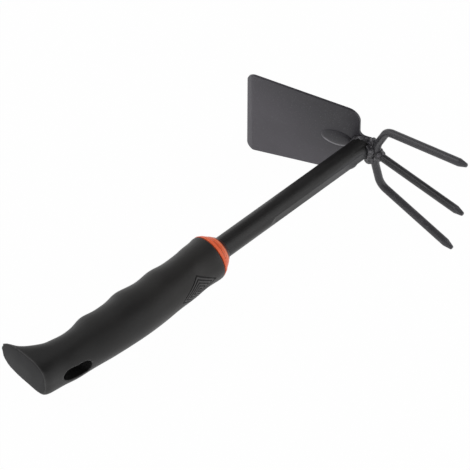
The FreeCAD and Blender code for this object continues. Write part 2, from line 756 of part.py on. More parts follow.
def lay_down(*feet):
    """The turn that lays the tool on the lowest points of three shapes, with its tube along x."""
    fineness = (size["tip_rounding"] * FINENESS_SHARE).value
    groups = [foot.Shape.tessellate(fineness)[0] for foot in feet]
    turn = Rotation()
    for _ in range(LEVELLING_ROUNDS):
        lowest = [min(points, key=lambda point: turn.multVec(point).z) for points in groups]
        normal = (lowest[1] - lowest[0]).cross(lowest[2] - lowest[0]).normalize()
        if normal.z < 0:
            normal = -normal
        level = Rotation(normal, Z_AXIS)
        along = level.multVec(X_AXIS)
        heading = Rotation(Vector(along.x, along.y, 0), X_AXIS)
        turn = heading.multiply(level)
    return turn


def put_on_floor(nodes, turn):
    """Turns every shape with the tool, then moves the middle of the box's underside to the origin."""
    for obj, where in placed:
        obj.Placement = Placement(Vector(), turn).multiply(where)
    doc.recompute()
    whole = FreeCAD.BoundBox()
    for node in nodes:
        whole.add(node.Shape.optimalBoundingBox(False))
    shift = Placement(Vector(-whole.Center.x, -whole.Center.y, -whole.ZMin), Rotation())
    for obj, _ in placed:
        obj.Placement = shift.multiply(obj.Placement)
    doc.recompute()
    return shift.multiply(Placement(Vector(), turn))


def check(nodes):
    """Stops the build where a feature failed or a shape is not sound."""
    faults = []
    for obj in doc.Objects:
        if "Invalid" in obj.State or "Error" in obj.State:
            faults.append(f"{obj.Name}: {obj.State}")
    for node in nodes:
        if node.Shape.isNull() or not node.Shape.isValid():
            faults.append(f"{node.Label}: shape is null or not valid")
    if faults:
        raise RuntimeError("; ".join(faults))


def main():
    cover, core, cap, plug, lock_bar = make_handle()
    blade = make_blade()
    yoke = make_outer_tines()
    middle = make_middle_tine(yoke)
    outside = make_pressed_bar("tube_outside", size["tube_radius"], size["tube_flat"])
    tube = make_tube(outside, lock_bar)
    welds = make_welds(outside, blade, tube, yoke, middle)
    nodes = [blade, yoke, middle, tube, *welds, cover, core, cap, plug]
    doc.recompute()

    laid = put_on_floor(nodes, lay_down(blade, yoke, cover))
    check(nodes)
    os.makedirs("parts", exist_ok=True)
    for node in nodes:
        shape = node.Shape
        print(f"{node.Label}: {len(shape.Solids)} solid, {shape.Volume:.1f} mm3, {shape.BoundBox}")
        shape.exportStep(f"parts/{node.Label}.step")
    print("the tool's own origin lies at", laid)


main()
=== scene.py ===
"""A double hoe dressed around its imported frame: head, tube, soft handle and studio."""
import logging
import math
from collections.abc import Mapping, Sequence
from dataclasses import dataclass, field
from enum import Enum
from typing import Any

import bmesh
import bpy
from mathutils import Euler, Matrix, Quaternion, Vector, noise
from mathutils.bvhtree import BVHTree


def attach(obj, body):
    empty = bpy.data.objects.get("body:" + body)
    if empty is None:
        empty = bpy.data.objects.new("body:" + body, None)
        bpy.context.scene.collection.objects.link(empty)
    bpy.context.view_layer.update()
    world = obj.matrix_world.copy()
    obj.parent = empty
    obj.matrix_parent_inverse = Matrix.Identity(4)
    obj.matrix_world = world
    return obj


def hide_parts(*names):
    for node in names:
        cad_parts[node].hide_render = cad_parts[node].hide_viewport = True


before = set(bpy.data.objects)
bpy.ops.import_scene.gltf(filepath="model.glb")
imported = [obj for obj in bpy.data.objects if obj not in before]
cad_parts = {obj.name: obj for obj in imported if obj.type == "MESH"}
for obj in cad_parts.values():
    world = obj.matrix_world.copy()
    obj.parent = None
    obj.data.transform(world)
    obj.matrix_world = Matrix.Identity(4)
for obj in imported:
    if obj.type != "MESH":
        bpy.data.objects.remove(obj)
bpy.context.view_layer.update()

LOG = logging.getLogger("double_hoe")

Triple = tuple[float, float, float]
Colour = Triple
Tint = Colour | bpy.types.NodeSocket
Levels = tuple[float, float]

# The frame is in metres. Sizes below are in millimetres, on the tool's own axes: +X along the
# tube towards the head, +Y towards the blade and +Z up.
MM = 0.001
WELD_DISTANCE = 0.001 * MM
TOOL_PLACE = Vector((147.182, 2.76384, 46.4801)) * MM
TOOL_TURN = Euler((math.radians(-1.24396), math.radians(-5.78052), 0.0))
TOOL_TO_ROW = Matrix.Translation(TOOL_PLACE) @ TOOL_TURN.to_matrix().to_4x4()
ROW_TO_TOOL = TOOL_TO_ROW.inverted()
ROOT = "root"

# The way in which the blade reaches, along and across the tube.
BLADE_WAY = (-0.3907, 0.9205)
# The way in which the tube's lower pressed flat faces, across and above the tube.
FLAT_WAY = (-0.857, -0.515)

# Socket numbers of a Mix node that mixes colours.
MIX_FACTOR, MIX_FIRST, MIX_SECOND, MIX_RESULT = 0, 6, 7, 2


def to_tool(point: Vector) -> Vector:
    """Turns a place in the frame into the tool's own millimetres."""
    return (ROW_TO_TOOL @ point) / MM


def ease(value: float, low: float, high: float) -> float:
    """Rises smoothly from 0 at low to 1 at high."""
    share = min(max((value - low) / (high - low), 0.0), 1.0)
    return share * share * (3.0 - 2.0 * share)


class Shade:
    """A number that varies over a surface, written in sums as Python writes them."""

    def __init__(self, kit: "NodeKit", socket: bpy.types.NodeSocket) -> None:
        self.kit = kit
        self.socket = socket

    def _sum(self, operation: str, *values: "Shade | float") -> "Shade":
        """Adds one Math node.

        Args:
            operation: The Math node's operation.
            values: Its two values, in order.

        Returns:
            The node's result.
        """
        made = self.kit.node("ShaderNodeMath", {"operation": operation}, dict(enumerate(values)))
        return Shade(self.kit, made.outputs[0])

    def __add__(self, other: "Shade | float") -> "Shade":
        """Adds."""
        return self._sum("ADD", self, other)

    __radd__ = __add__

    def __mul__(self, other: "Shade | float") -> "Shade":
        """Multiplies."""
        return self._sum("MULTIPLY", self, other)

    __rmul__ = __mul__

    def __sub__(self, other: "Shade | float") -> "Shade":
        """Takes away."""
        return self._sum("SUBTRACT", self, other)

    def __rsub__(self, other: "Shade | float") -> "Shade":
        """Takes this away from a number."""
        return self._sum("SUBTRACT", other, self)

    def between(self, low: float, high: float) -> "Shade":
        """Rises smoothly from one level to another, or falls where the first is the larger.

        Args:
            low: The level where the result is 0.
            high: The level where it is 1.

        Returns:
            The result, 0 to 1.
        """
        made = self.kit.node(
            "ShaderNodeMapRange",
            {"interpolation_type": "SMOOTHSTEP"},
            {"Value": self, "From Min": low, "From Max": high},
        )
        return Shade(self.kit, made.outputs[0])


@dataclass(frozen=True)
class Grain:
    """Soft noise: its cells for each millimetre, finer layers, stretch and levels.

    The stretch draws it out along the tool's axes. The levels are where it begins to show and
    where it is full.
    """

    scale: float
    detail: float = 2.0
    stretch: Triple = (1.0, 1.0, 1.0)
    levels: Levels | None = None


def streaks(*stretch: float) -> Grain:
    """Faint streaks, drawn out along the tool's axes."""
    return Grain(0.9, 3.0, stretch, (0.56, 0.72))


class NodeKit:
    """The node tree of a material or of the room, and the few patterns that the finishes share."""

    def __init__(self, owner: bpy.types.Material | bpy.types.World) -> None:
        """Empties the owner's tree.

        Args:
            owner: The material or the room that the nodes belong to.
        """
        self.owner = owner
        owner.use_nodes = True
        self.tree = owner.node_tree
        self.tree.nodes.clear()

    def node(
        self,
        kind: str,
        settings: Mapping[str, Any] | None = None,
        inputs: Mapping[str | int, Any] | None = None,
    ) -> bpy.types.Node:
        """Makes one node.

        Args:
            kind: The node's type.
            settings: Its own settings, set first.
            inputs: Values, sockets or shades by socket name or number.

        Returns:
            The node.
        """
        made = self.tree.nodes.new(kind)
        for key, value in (settings or {}).items():
            setattr(made, key, value)
        for key, value in (inputs or {}).items():
            source = value.socket if isinstance(value, Shade) else value
            if isinstance(source, bpy.types.NodeSocket):
                self.tree.links.new(source, made.inputs[key])
            else:
                made.inputs[key].default_value = source
        return made

    def tool_point(self, stretch: Triple = (1.0, 1.0, 1.0)) -> bpy.types.NodeSocket:
        """The surface's place on the tool, in millimetres along its own axes.

        Args:
            stretch: How many times a pattern is drawn out along each axis.

        Returns:
            The vector socket.
        """
        place = self.node("ShaderNodeTexCoord").outputs["Object"]
        mapped = self.node(
            "ShaderNodeMapping",
            {"vector_type": "TEXTURE"},
            {
                "Vector": place,
                "Location": TOOL_PLACE,
                "Rotation": TOOL_TURN,
                "Scale": tuple(MM * factor for factor in stretch),
            },
        )
        return mapped.outputs[0]

    def axes(self) -> tuple[Shade, Shade, Shade]:
        """Place along, across and above the tube, in millimetres."""
        parts = self.node("ShaderNodeSeparateXYZ", inputs={0: self.tool_point()})
        return tuple(Shade(self, socket) for socket in parts.outputs)

    def blade_reach(self) -> Shade:
        """How far a place on the blade lies from the tube's axis, in millimetres."""
        along, across, _ = self.axes()
        return along * BLADE_WAY[0] + across * BLADE_WAY[1]

    def grain(self, pattern: Grain) -> Shade:
        """Lays soft noise.

        Args:
            pattern: Its size, layers, stretch and levels.

        Returns:
            Its strength: 0 to 1 between its levels, or about 0.5 on the whole where it has none.
        """
        place = self.tool_point(pattern.stretch)
        inputs = {"Vector": place, "Scale": pattern.scale, "Detail": pattern.detail}
        strength = Shade(self, self.node("ShaderNodeTexNoise", inputs=inputs).outputs[0])
        return strength.between(*pattern.levels) if pattern.levels else strength

    def attribute(self, name: str) -> Shade:
        """A number that the mesh carries."""
        made = self.node("ShaderNodeAttribute", {"attribute_name": name})
        return Shade(self, made.outputs["Fac"])

    def rays(self, *kinds: str) -> Shade:
        """Tells some kinds of ray from the others.

        Args:
            kinds: Names of the Light Path node's outputs.

        Returns:
            1 or more where the ray is of one of the kinds, and else 0.
        """
        path = self.node("ShaderNodeLightPath").outputs
        total, *others = (Shade(self, path[kind]) for kind in kinds)
        for other in others:
            total = total + other
        return total

    def blend(self, factor: Shade, first: Tint, second: Tint) -> bpy.types.NodeSocket:
        """Mixes two colours.

        Args:
            factor: 0 for the first and 1 for the second.
            first: A colour or a socket.
            second: A colour or a socket.

        Returns:
            The colour socket.
        """
        inputs = {MIX_FACTOR: factor}
        for number, value in ((MIX_FIRST, first), (MIX_SECOND, second)):
            inputs[number] = (*value, 1.0) if isinstance(value, tuple) else value
        return self.node("ShaderNodeMix", {"data_type": "RGBA"}, inputs).outputs[MIX_RESULT]

    def bump(
        self, height: Shade, depth: float, after: bpy.types.NodeSocket | None = None
    ) -> bpy.types.NodeSocket:
        """Raises a pattern.

        Args:
            height: The pattern, 0 to 1.
            depth: Its full height in millimetres.
            after: A normal that it builds on.

        Returns:
            The normal socket.
        """
        inputs = {"Height": height, "Distance": depth * MM, "Strength": 1.0}
        if after is not None:
            inputs["Normal"] = after
        return self.node("ShaderNodeBump", inputs=inputs).outputs[0]

    def finish(self, **inputs: Any) -> bpy.types.Material:
        """Closes the tree with one surface shader.

        Args:
            inputs: Values or links by socket name, with _ for a space.

        Returns:
            The material.
        """
        named = {key.replace("_", " "): value for key, value in inputs.items()}
        shader = self.node("ShaderNodeBsdfPrincipled", inputs=named)
        self.node("ShaderNodeOutputMaterial", inputs={"Surface": shader.outputs[0]})
        return self.owner


class WornOrReflection(Enum):
    """Where a coat is scuffed thin, or where a painted reflection lies on the tube's lower flat."""

    CUTTING_EDGE = "cutting edge"
    POINTS = "points"
    FLAT_REFLECTION = "pressed flat"


@dataclass(frozen=True)
class WearOrReflection:
    """Where a scuffed place or painted reflection begins and is full, its even share beside specks,
    and how much it shows the metal tone.
    """

    begin: float
    full: float
    even: float
    strength: float


WEAR_OR_REFLECTION = {
    WornOrReflection.CUTTING_EDGE: WearOrReflection(84.5, 91.0, 0.35, 0.6),
    WornOrReflection.POINTS: WearOrReflection(-76.0, -89.0, 0.25, 0.5),
    # Painted reflection: a lighter, half-metal patch on the tube's lower flat.
    WornOrReflection.FLAT_REFLECTION: WearOrReflection(-85.0, -15.0, 0.7, 0.3),
}


@dataclass(frozen=True)
class BladePaintedLight:
    """Painted light on the blade: painted shade towards its root and upper side, painted shade
    inside its pressed tongue, and a painted highlight along the tongue's lower rim.

    The tongue is an oval. Its fades are in shares of its size, and 1 is its outline.
    """

    shade: Colour = (0.030, 0.028, 0.035)
    crease_highlight: Colour = (0.36, 0.35, 0.38)
    shade_fall: Levels = (95.0, -10.0)
    shade_fall_lean: float = 1.2
    centre: float = 21.0
    half_length: float = 12.3
    half_width: float = 7.0
    inner_fade: Levels = (1.0, 0.55)
    lower_fade: Levels = (-0.28, -0.68)
    lower_light: float = 0.6
    crease_highlight_inner: Levels = (0.50, 0.78)
    crease_highlight_outer: Levels = (1.18, 0.94)
    strength: float = 0.9

    def coat(self, kit: NodeKit, base: bpy.types.NodeSocket) -> bpy.types.NodeSocket:
        """Lays the painted shade and painted highlight over a coat's colour.

        Args:
            kit: The material's nodes.
            base: The colour so far.

        Returns:
            The colour socket.
        """
        reach, above = kit.blade_reach(), kit.axes()[2]
        # Painted shade: darker towards the blade's root and its upper side.
        base = kit.blend((reach - above * self.shade_fall_lean).between(*self.shade_fall), base, self.shade)
        long = (reach - self.centre) * (1.0 / self.half_length)
        wide = above * (1.0 / self.half_width)
        oval = long * long + wide * wide
        lower = wide.between(*self.lower_fade)
        # Painted shade inside the pressed tongue, lighter on its lower, lit side.
        inside = oval.between(*self.inner_fade) * (1.0 - lower * self.lower_light)
        # Painted highlight along the tongue's lower rim.
        crease_highlight_band = oval.between(*self.crease_highlight_inner) * oval.between(*self.crease_highlight_outer) * lower
        base = kit.blend(inside * self.strength, base, self.shade)
        return kit.blend(crease_highlight_band * self.strength, base, self.crease_highlight)


@dataclass(frozen=True)
class SteelCoat:
    """Thin satin coat on steel, with orange peel, faint streaks and scuffed places, and where it
    has them, a painted reflection and painted light.

    A field that ends in rough is what its pattern adds to the roughness.
    """

    name: str
    colour: Colour
    cloud: Colour
    roughness: float
    worn_or_reflection: WornOrReflection
    streaks: Grain
    streak_strength: float = 0.25
    # The metal tone of scuffed places and streaks, and the tone of the painted reflection.
    bare_or_reflection: Colour = (0.20, 0.20, 0.215)
    bare_metal: float = 0.8
    clouds: Grain = Grain(0.045, 4.0, levels=(0.32, 0.68))
    peel: Grain = Grain(1.7)
    peel_depth: float = 0.02
    specks: Grain = Grain(1.4, 4.0, levels=(0.52, 0.66))
    flat_rise: Levels = (2.0, 4.0)
    cloud_rough: float = 0.07
    peel_rough: float = 0.05
    streak_rough: float = -0.2
    bare_rough: float = -0.12
    shine: float = 0.45
    coat: float = 0.15
    coat_roughness: float = 0.3
    painted_light: BladePaintedLight | None = None

    def rubbed_or_reflection(self, kit: NodeKit) -> Shade:
        """Where the coat is thin, or where the painted reflection lies.

        Args:
            kit: The material's nodes.

        Returns:
            0 where it is whole, and 1 where it is gone or the painted reflection is full.
        """
        rub_or_reflection = WEAR_OR_REFLECTION[self.worn_or_reflection]
        broken = (rub_or_reflection.even + kit.grain(self.specks) * (1.0 - rub_or_reflection.even)) * rub_or_reflection.strength
        if self.worn_or_reflection is WornOrReflection.CUTTING_EDGE:
            return kit.blade_reach().between(rub_or_reflection.begin, rub_or_reflection.full) * broken
        along, across, above = kit.axes()
        if self.worn_or_reflection is WornOrReflection.POINTS:
            return across.between(rub_or_reflection.begin, rub_or_reflection.full) * broken
        # Painted reflection on the lower pressed flat, towards the head.
        low = (across * FLAT_WAY[0] + above * FLAT_WAY[1]).between(*self.flat_rise)
        return low * along.between(rub_or_reflection.begin, rub_or_reflection.full) * broken

    def build(self) -> bpy.types.Material:
        """Makes the material.

        Returns:
            The finish for one node.
        """
        kit = NodeKit(bpy.data.materials.new(self.name))
        cloud = kit.grain(self.clouds)
        peel = kit.grain(self.peel)
        streak = kit.grain(self.streaks) * self.streak_strength
        rubbed_or_reflection = self.rubbed_or_reflection(kit)
        base = kit.blend(cloud, self.colour, self.cloud)
        # Painted shade and painted highlight, where a coat has them.
        if self.painted_light is not None:
            base = self.painted_light.coat(kit, base)
        base = kit.blend(streak, base, self.bare_or_reflection)
        rough = self.roughness + cloud * self.cloud_rough + peel * self.peel_rough
        return kit.finish(
            Base_Color=kit.blend(rubbed_or_reflection, base, self.bare_or_reflection),
            Roughness=rough + streak * self.streak_rough + rubbed_or_reflection * self.bare_rough,
            Metallic=rubbed_or_reflection * self.bare_metal,
            Normal=kit.bump(peel, self.peel_depth),
            Specular_IOR_Level=self.shine,
            Coat_Weight=self.coat,
            Coat_Roughness=self.coat_roughness,
        )


@dataclass(frozen=True)
class WeldBead:
    """Coated weld metal: rippled, pitted and a little lighter on its crests.

    A field that ends in share is how much of the height its pattern makes.
    """

    name: str = "weld_bead"
    colour: Colour = (0.022, 0.021, 0.025)
    crest: Colour = (0.130, 0.123, 0.138)
    lumps: Grain = Grain(0.55, 3.0)
    ripples: Grain = Grain(1.5, 2.0, (0.5, 2.2, 1.0))
    pits: Grain = Grain(3.2)
    lump_share: float = 0.5
    ripple_share: float = 0.35
    pit_share: float = 0.15
    depth: float = 0.5
    crest_levels: Levels = (0.47, 0.62)
    bare_levels: Levels = (0.50, 0.65)
    bare_metal: float = 0.3
    roughness: float = 0.34
    pit_rough: float = 0.22
    coat: float = 0.3
    coat_roughness: float = 0.2

    def build(self) -> bpy.types.Material:
        """Makes the material.

        Returns:
            The finish that all beads share.
        """
        kit = NodeKit(bpy.data.materials.new(self.name))
        lumps, ripples, pits = (
            kit.grain(pattern) for pattern in (self.lumps, self.ripples, self.pits)
        )
        height = lumps * self.lump_share + ripples * self.ripple_share + pits * self.pit_share
        return kit.finish(
            Base_Color=kit.blend(height.between(*self.crest_levels), self.colour, self.crest),
            Roughness=self.roughness + pits * self.pit_rough,
            Metallic=height.between(*self.bare_levels) * self.bare_metal,
            Normal=kit.bump(height, self.depth),
            Coat_Weight=self.coat,
            Coat_Roughness=self.coat_roughness,
        )


@dataclass(frozen=True)
class SoftSkin:
    """Black soft-touch cover: fine stipple, faint bloom, painted light towards its front, darker in
    its engraved lines.

    The mesh carries where a line is cut, the land between lines, and the outer corners, which get a
    painted highlight. A field that ends in share is how much of the bloom and painted light its
    pattern makes, and one that ends in rough is what its pattern adds to the roughness.
    """

    name: str = "soft_skin"
    colour: Colour = (0.0038, 0.0038, 0.0041)
    bloom: Colour = (0.0190, 0.0174, 0.0162)
    groove: Colour = (0.002, 0.002, 0.002)
    crest: Colour = (0.052, 0.050, 0.051)
    # Tone of the painted highlight on the outer corners.
    corner_highlight: Colour = (0.060, 0.058, 0.060)
    crest_strength: float = 0.8
    corner_strength: float = 0.7
    # Where along the tube the painted light towards the front begins and is full.
    front: Levels = (-290.0, -165.0)
    front_light_share: float = 0.7
    blooms: Grain = Grain(0.035, 5.0, levels=(0.35, 0.70))
    bloom_share: float = 0.2
    smears: Grain = Grain(0.16, 4.0, (3.5, 1.0, 1.0))
    smear_share: float = 0.1
    smear_depth: float = 0.12
    stipple: Grain = Grain(2.6)
    stipple_depth: float = 0.05
    roughness: float = 0.44
    bloom_rough: float = 0.10
    stipple_rough: float = 0.10
    cut_rough: float = 0.15
    smear_rough: float = -0.08
    corner_rough: float = -0.10
    shine: float = 0.42
    sheen: float = 0.03
    sheen_roughness: float = 0.45

    def build(self) -> bpy.types.Material:
        """Makes the material.

        Returns:
            The cover's finish.
        """
        kit = NodeKit(bpy.data.materials.new(self.name))
        bloom, stipple, smear = (
            kit.grain(pattern) for pattern in (self.blooms, self.stipple, self.smears)
        )
        cut, land, corner_highlight = (kit.attribute(name) for name in ("cut", "land", "edge"))
        # Painted light: the cover lightens towards its front.
        front = kit.axes()[0].between(*self.front)
        bloom_and_front_light = front * self.front_light_share + bloom * self.bloom_share + smear * self.smear_share
        rough = self.roughness + bloom * self.bloom_rough + stipple * self.stipple_rough
        rough = rough + cut * self.cut_rough + smear * self.smear_rough
        base = kit.blend(bloom_and_front_light, self.colour, self.bloom)
        # Painted highlight along the outer corners.
        base = kit.blend(corner_highlight * self.corner_strength, base, self.corner_highlight)
        base = kit.blend(land * self.crest_strength, base, self.crest)
        return kit.finish(
            Base_Color=kit.blend(cut, base, self.groove),
            Roughness=rough + corner_highlight * self.corner_rough,
            Normal=kit.bump(stipple, self.stipple_depth, kit.bump(smear, self.smear_depth)),
            Specular_IOR_Level=self.shine,
            Sheen_Weight=self.sheen,
            Sheen_Roughness=self.sheen_roughness,
        )


@dataclass(frozen=True)
class MouldedPlastic:
    """Satin moulded plastic with flow marks, a fine spark-eroded grain, and painted shade and
    highlights where it has them.

    Shaded ends are where along the tube a painted shadow begins and is full. Painted shade
    lines and painted highlight lines are each a middle and a half width.
    """

    name: str
    colour: Colour
    flow: Colour
    roughness: float
    shine: float = 0.4
    flows: Grain = Grain(0.12, 4.0, (1.0, 2.0, 2.0), (0.3, 0.7))
    flow_rough: float = 0.06
    grain: Grain = Grain(4.0)
    grain_rough: float = 0.08
    grain_depth: float = 0.012
    waves: Grain = Grain(0.4)
    wave_depth: float = 0.03
    painted_shade: Colour = (0.05, 0.012, 0.008)
    shaded_ends: tuple[Levels, ...] = ()
    shade_lines: tuple[Levels, ...] = ()
    painted_highlight: Colour = (0.95, 0.36, 0.20)
    highlight_lines: tuple[Levels, ...] = ()
    line_strength: float = 0.7

    def build(self) -> bpy.types.Material:
        """Makes the material.

        Returns:
            The moulding's finish.
        """
        kit = NodeKit(bpy.data.materials.new(self.name))
        flow, grain, waves = (
            kit.grain(pattern) for pattern in (self.flows, self.grain, self.waves)
        )
        base = kit.blend(flow, self.colour, self.flow)
        # Painted shadow towards its ends.
        for begin, full in self.shaded_ends:
            base = kit.blend(kit.axes()[0].between(begin, full), base, self.painted_shade)
        # Lines of painted shade and painted highlight.
        for lines, tone in ((self.shade_lines, self.painted_shade), (self.highlight_lines, self.painted_highlight)):
            for middle, half in lines:
                off = kit.axes()[0] - middle
                line = (off * off).between(half * half, 0.0)
                base = kit.blend(line * self.line_strength, base, tone)
        return kit.finish(
            Base_Color=base,
            Roughness=self.roughness + flow * self.flow_rough + grain * self.grain_rough,
            Normal=kit.bump(grain, self.grain_depth, kit.bump(waves, self.wave_depth)),
            Specular_IOR_Level=self.shine,
        )


def mesh_piece(
    name: str, body: bmesh.types.BMesh, material: bpy.types.Material
) -> bpy.types.Object:
    """Turns a finished bmesh into a smooth-shaded object at the frame's origin.

    Args:
        name: The piece's name.
        body: Its mesh, which is freed.
        material: Its finish.

    Returns:
        The object.
    """
    mesh = bpy.data.meshes.new(name)
    body.to_mesh(mesh)
    body.free()
    mesh.materials.append(material)
    mesh.polygons.foreach_set("use_smooth", [True] * len(mesh.polygons))
    piece = bpy.data.objects.new(name, mesh)
    bpy.context.scene.collection.objects.link(piece)
    return piece


def node_copy(*nodes: str) -> bmesh.types.BMesh:
    """Copies CAD nodes into one mesh and closes their loose triangles.

    Args:
        nodes: The nodes' names.

    Returns:
        The merged copy.
    """
    body = bmesh.new()
    for node in nodes:
        body.from_mesh(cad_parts[node].data)
    bmesh.ops.remove_doubles(body, verts=body.verts, dist=WELD_DISTANCE)
    return body


def relax(body: bmesh.types.BMesh, rounds: int) -> None:
    """Draws every vertex halfway to the middle of its neighbours.

    Args:
        body: The mesh.
        rounds: How many times.
    """
    for _ in range(rounds):
        bmesh.ops.smooth_vert(
            body, verts=body.verts, factor=0.5,
            use_axis_x=True, use_axis_y=True, use_axis_z=True,
        )


def remoulded(
    body: bmesh.types.BMesh, cell: float, rounds: int, holds: Sequence[float] = (1.0, 0.5)
) -> bmesh.types.BMesh:
    """Covers a closed mesh with one even skin that lies on it, with slightly rounded edges.

    Args:
        body: The mesh, which is freed.
        cell: Size of the new faces, in millimetres.
        rounds: How often the skin is smoothed before it is laid back on the mesh.
        holds: How far each laying draws it onto the mesh, 0 to 1.

    Returns:
        The new mesh.
    """
    surface = BVHTree.FromBMesh(body)
    mesh = bpy.data.meshes.new("blank")
    body.to_mesh(mesh)
    body.free()
    blank = bpy.data.objects.new("blank", mesh)
    bpy.context.scene.collection.objects.link(blank)
    remesh = blank.modifiers.new("skin", "REMESH")
    remesh.mode = "VOXEL"
    remesh.voxel_size = cell * MM
    bpy.context.view_layer.update()
    shown = blank.evaluated_get(bpy.context.evaluated_depsgraph_get())
    skinned = bpy.data.meshes.new_from_object(shown)
    bpy.data.objects.remove(blank)
    result = bmesh.new()
    result.from_mesh(skinned)
    bpy.data.meshes.remove(skinned)
    relax(result, rounds)
    for hold in holds:
        for vert in result.verts:
            vert.co = vert.co.lerp(surface.find_nearest(vert.co)[0], hold)
        relax(result, 1)
    return result


def keep_largest(body: bmesh.types.BMesh) -> None:
    """Drops closed pockets inside a remoulded skin.

    Args:
        body: The skin.
    """
    left, shells = set(body.verts), []
    while left:
        shell, front = set(), [left.pop()]
        while front:
            vert = front.pop()
            shell.add(vert)
            for edge in vert.link_edges:
                other = edge.other_vert(vert)
                if other in left:
                    left.discard(other)
                    front.append(other)
        shells.append(shell)
    shells.sort(key=len, reverse=True)
    for shell in shells[1:]:
        bmesh.ops.delete(body, geom=list(shell), context="VERTS")


def mark_highlit_corners(body: bmesh.types.BMesh, soft: float = 0.04, sharp: float = 0.10) -> None:
    """Marks where an even skin turns over its outer edges, for a painted highlight and a little
    polish there.

    Args:
        body: The skin.
        soft: How far a vertex stands out of its neighbours where the mark begins, in millimetres.
        sharp: The same where the mark is full.
    """
    mark = body.verts.layers.float.new("edge")
    body.normal_update()
    for vert in body.verts:
        around = [edge.other_vert(vert).co for edge in vert.link_edges]
        middle = sum(around, Vector()) / len(around)
        vert[mark] = ease((vert.co - middle).dot(vert.normal) / MM, soft, sharp)


def turned(profile: Sequence[tuple[float, float]], steps: int) -> bmesh.types.BMesh:
    """Spins a closed outline round the tube's axis.

    Args:
        profile: Places along the tube and out from it, in millimetres.
        steps: Faces round the full turn.

    Returns:
        The closed ring.
    """
    body = bmesh.new()
    verts = [body.verts.new((along * MM, 0.0, out * MM)) for along, out in profile]
    for first, second in zip(verts, verts[1:] + verts[:1]):
        body.edges.new((first, second))
    bmesh.ops.spin(
        body, geom=body.verts[:] + body.edges[:], axis=(1.0, 0.0, 0.0), cent=(0.0, 0.0, 0.0),
        dvec=(0.0, 0.0, 0.0), angle=math.tau, steps=steps, use_merge=True, use_duplicate=False,
    )
    bmesh.ops.remove_doubles(body, verts=body.verts, dist=WELD_DISTANCE)
    bmesh.ops.recalc_face_normals(body, faces=body.faces)
    return body


def soften(body: bmesh.types.BMesh, sharper: float, width: float, segments: int) -> None:
    """Rounds every edge sharper than an angle.

    Args:
        body: The mesh.
        sharper: The angle, in degrees.
        width: The rounding's width, in millimetres.
        segments: Its steps.
    """
    limit = math.radians(sharper)
    edges = [edge for edge in body.edges if edge.is_manifold and edge.calc_face_angle() > limit]
    bmesh.ops.bevel(
        body, geom=edges, offset=width * MM, offset_type="OFFSET", affect="EDGES",
        segments=segments, profile=0.5, material=-1, clamp_overlap=True,
    )


def mount(piece: bpy.types.Object, node: str) -> None:
    """Gives a piece its body and hides the node that it stands for.

    Args:
        piece: The finished piece.
        node: The CAD node that it replaces.
    """
    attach(piece, ROOT)
    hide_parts(node)
    LOG.info("%s: %d faces", piece.name, len(piece.data.polygons))


def dress(node: str, material: bpy.types.Material) -> None:
    """Gives a CAD node that stays its finish.

    Args:
        node: The node's name.
        material: The finish.
    """
    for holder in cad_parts[node].material_slots:
        holder.material = material
    LOG.info("%s: dressed", node)


@dataclass
class ThumbPattern:
    """Nested diamond outlines cut into the palm side of the grip."""

    front: float = -163.5
    middle: float = -178.2
    rear: float = -194.5
    half_width: float = 11.3
    pitch: float = 2.0
    lines: int = 5
    line_width: float = 0.85
    line_floor: float = 0.2
    line_edge: float = 0.6
    land_rise: float = 0.5
    depth: float = 0.55
    margin: float = 1.5
    cuts: int = 2

    def inside(self, place: Vector) -> float:
        """How far a place on the palm side lies inside the outermost outline.

        Args:
            place: A place in the tool's millimetres.

        Returns:
            The distance, less than 0 outside.
        """
        length = self.front - self.middle if place.x > self.middle else self.middle - self.rear
        share = 1.0 - abs(place.z) / self.half_width - abs(place.x - self.middle) / length
        return share * length * self.half_width / math.hypot(length, self.half_width)

    def near(self, place: Vector, normal: Vector) -> bool:
        """Whether a vertex lies on or beside the pattern."""
        return normal.y < 0.0 and place.y < 0.0 and self.inside(place) > -self.margin

    def cut(self, inside: float) -> float:
        """How deep a line is at one place.

        Args:
            inside: The place's distance inside the outermost outline, in millimetres.

        Returns:
            0 on the land and 1 on a line's floor.
        """
        row = round(inside / self.pitch)
        if row < 0 or row >= self.lines:
            return 0.0
        off = abs(inside - row * self.pitch) / self.line_width
        return 1.0 - ease(off, self.line_floor, self.line_edge)

    def carve(self, body: bmesh.types.BMesh) -> None:
        """Cuts the lines into the skin and marks them for its finish.

        Args:
            body: The grip's skin, in the frame.
        """
        turn = ROW_TO_TOOL.to_3x3()
        near = {vert for vert in body.verts if self.near(to_tool(vert.co), turn @ vert.normal)}
        edges = [edge for edge in body.edges if set(edge.verts) <= near]
        bmesh.ops.subdivide_edges(body, edges=edges, cuts=self.cuts, use_grid_fill=True)
        body.normal_update()
        cut_mark = body.verts.layers.float.new("cut")
        land_mark = body.verts.layers.float.new("land")
        for vert in body.verts:
            place = to_tool(vert.co)
            if not self.near(place, turn @ vert.normal):
                continue
            inside = self.inside(place)
            cut = self.cut(inside)
            vert[cut_mark] = cut
            vert[land_mark] = ease(inside, 0.0, self.pitch * self.land_rise) * (1.0 - cut)
            vert.co -= vert.normal * (cut * self.depth * MM)


